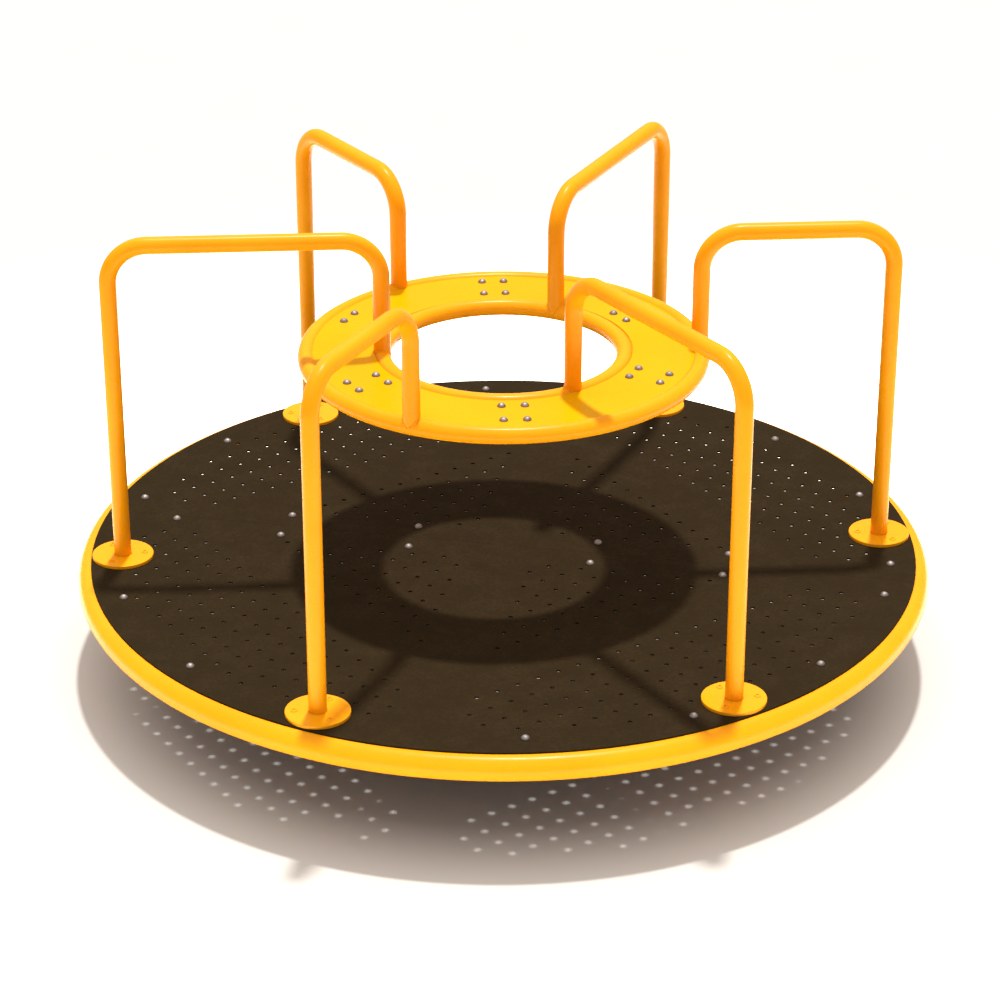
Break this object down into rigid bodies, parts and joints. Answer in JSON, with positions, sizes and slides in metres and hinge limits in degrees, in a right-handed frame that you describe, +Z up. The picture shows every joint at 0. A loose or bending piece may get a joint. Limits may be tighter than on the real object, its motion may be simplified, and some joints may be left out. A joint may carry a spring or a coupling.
{
  "type": "playground merry-go-round",
  "caption": "Playground merry-go-round: round perforated deck on a centre spindle, bent handrails of two lengths and a raised ring seat joining them.",
  "frame": {"origin": "on the floor, at the spin axis, on the underside of the base plate", "axes": "+Z up along the spin axis; +X out through the first short handrail; the deck seam lies 15 degrees clockwise from X"},
  "size_m": [2.4384, 2.4384, 1.3016],
  "materials": {
    "yellow_powder_coat": "glossy powder coat over galvanised steel tube",
    "deck_coating": "matte brown plastisol dipped over steel plate",
    "frame_steel": "hot-dip galvanised",
    "fastener_steel": "stainless, satin",
    "bearing_steel": "ground steel, greased",
    "seal_rubber": "moulded nitrile"
  },
  "bodies": {
    "pedestal": {"base_plate": "frame_steel", "base_gussets": "frame_steel", "spindle": "bearing_steel", "tab_washer": "fastener_steel", "castle_nut": "fastener_steel", "cotter_pin": "fastener_steel", "lower_bearing_cone": "bearing_steel", "upper_bearing_cone": "bearing_steel"},
    "turntable": {"chord_beam_1": "frame_steel", "chord_beam_2": "frame_steel", "chord_beam_3": "frame_steel", "chord_beam_4": "frame_steel", "cross_beam_1": "frame_steel", "cross_beam_2": "frame_steel", "deck_bolts": "fastener_steel", "deck_half_back": "deck_coating", "deck_half_front": "deck_coating", "deck_nuts": "fastener_steel", "flange_nuts": "fastener_steel", "flange_screws": "yellow_powder_coat", "grease_nipple": "bearing_steel", "grease_seal": "seal_rubber", "hub_cap": "frame_steel", "hub_cap_screws": "fastener_steel", "hub_housing": "frame_steel", "lower_bearing_cup": "bearing_steel", "rail_1_short": "yellow_powder_coat", "rail_2_long": "yellow_powder_coat", "rail_3_short": "yellow_powder_coat", "rail_4_long": "yellow_powder_coat", "rail_5_short": "yellow_powder_coat", "rail_6_long": "yellow_powder_coat", "rail_brackets": "yellow_powder_coat", "rail_flange_1": "yellow_powder_coat", "rail_flange_2": "yellow_powder_coat", "rail_flange_3": "yellow_powder_coat", "rail_flange_4": "yellow_powder_coat", "rail_flange_5": "yellow_powder_coat", "rail_flange_6": "yellow_powder_coat", "rim_ring": "yellow_powder_coat", "rim_tabs": "yellow_powder_coat", "ring_bolts": "fastener_steel", "ring_braces": "yellow_powder_coat", "ring_inner_tube": "yellow_powder_coat", "ring_nuts": "fastener_steel", "ring_outer_tube": "yellow_powder_coat", "ring_plate": "yellow_powder_coat", "seam_beam_1": "frame_steel", "seam_beam_2": "frame_steel", "seam_beam_3": "frame_steel", "seam_beam_4": "frame_steel", "seam_clip": "frame_steel", "upper_bearing_cup": "bearing_steel"},
    "lower_roller_set": {"lower_bearing_cage": "bearing_steel", "lower_bearing_rollers": "bearing_steel"},
    "upper_roller_set": {"upper_bearing_cage": "bearing_steel", "upper_bearing_rollers": "bearing_steel"}
  },
  "joints": [
    {"name": "deck_spin", "type": "hinge", "parent": "pedestal", "child": "turntable", "pos_m": [0, 0, 0.3302], "axis": [0, 0, 1], "continuous": true},
    {"name": "lower_rollers_orbit", "type": "hinge", "parent": "pedestal", "child": "lower_roller_set", "pos_m": [0, 0, 0.1], "axis": [0, 0, 1], "continuous": true},
    {"name": "upper_rollers_orbit", "type": "hinge", "parent": "pedestal", "child": "upper_roller_set", "pos_m": [0, 0, 0.2724], "axis": [0, 0, 1], "continuous": true}
  ],
  "couplings": [
    {"joint": "lower_rollers_orbit", "follows": "deck_spin", "ratio": 0.5575},
    {"joint": "upper_rollers_orbit", "follows": "deck_spin", "ratio": 0.5559}
  ]
}
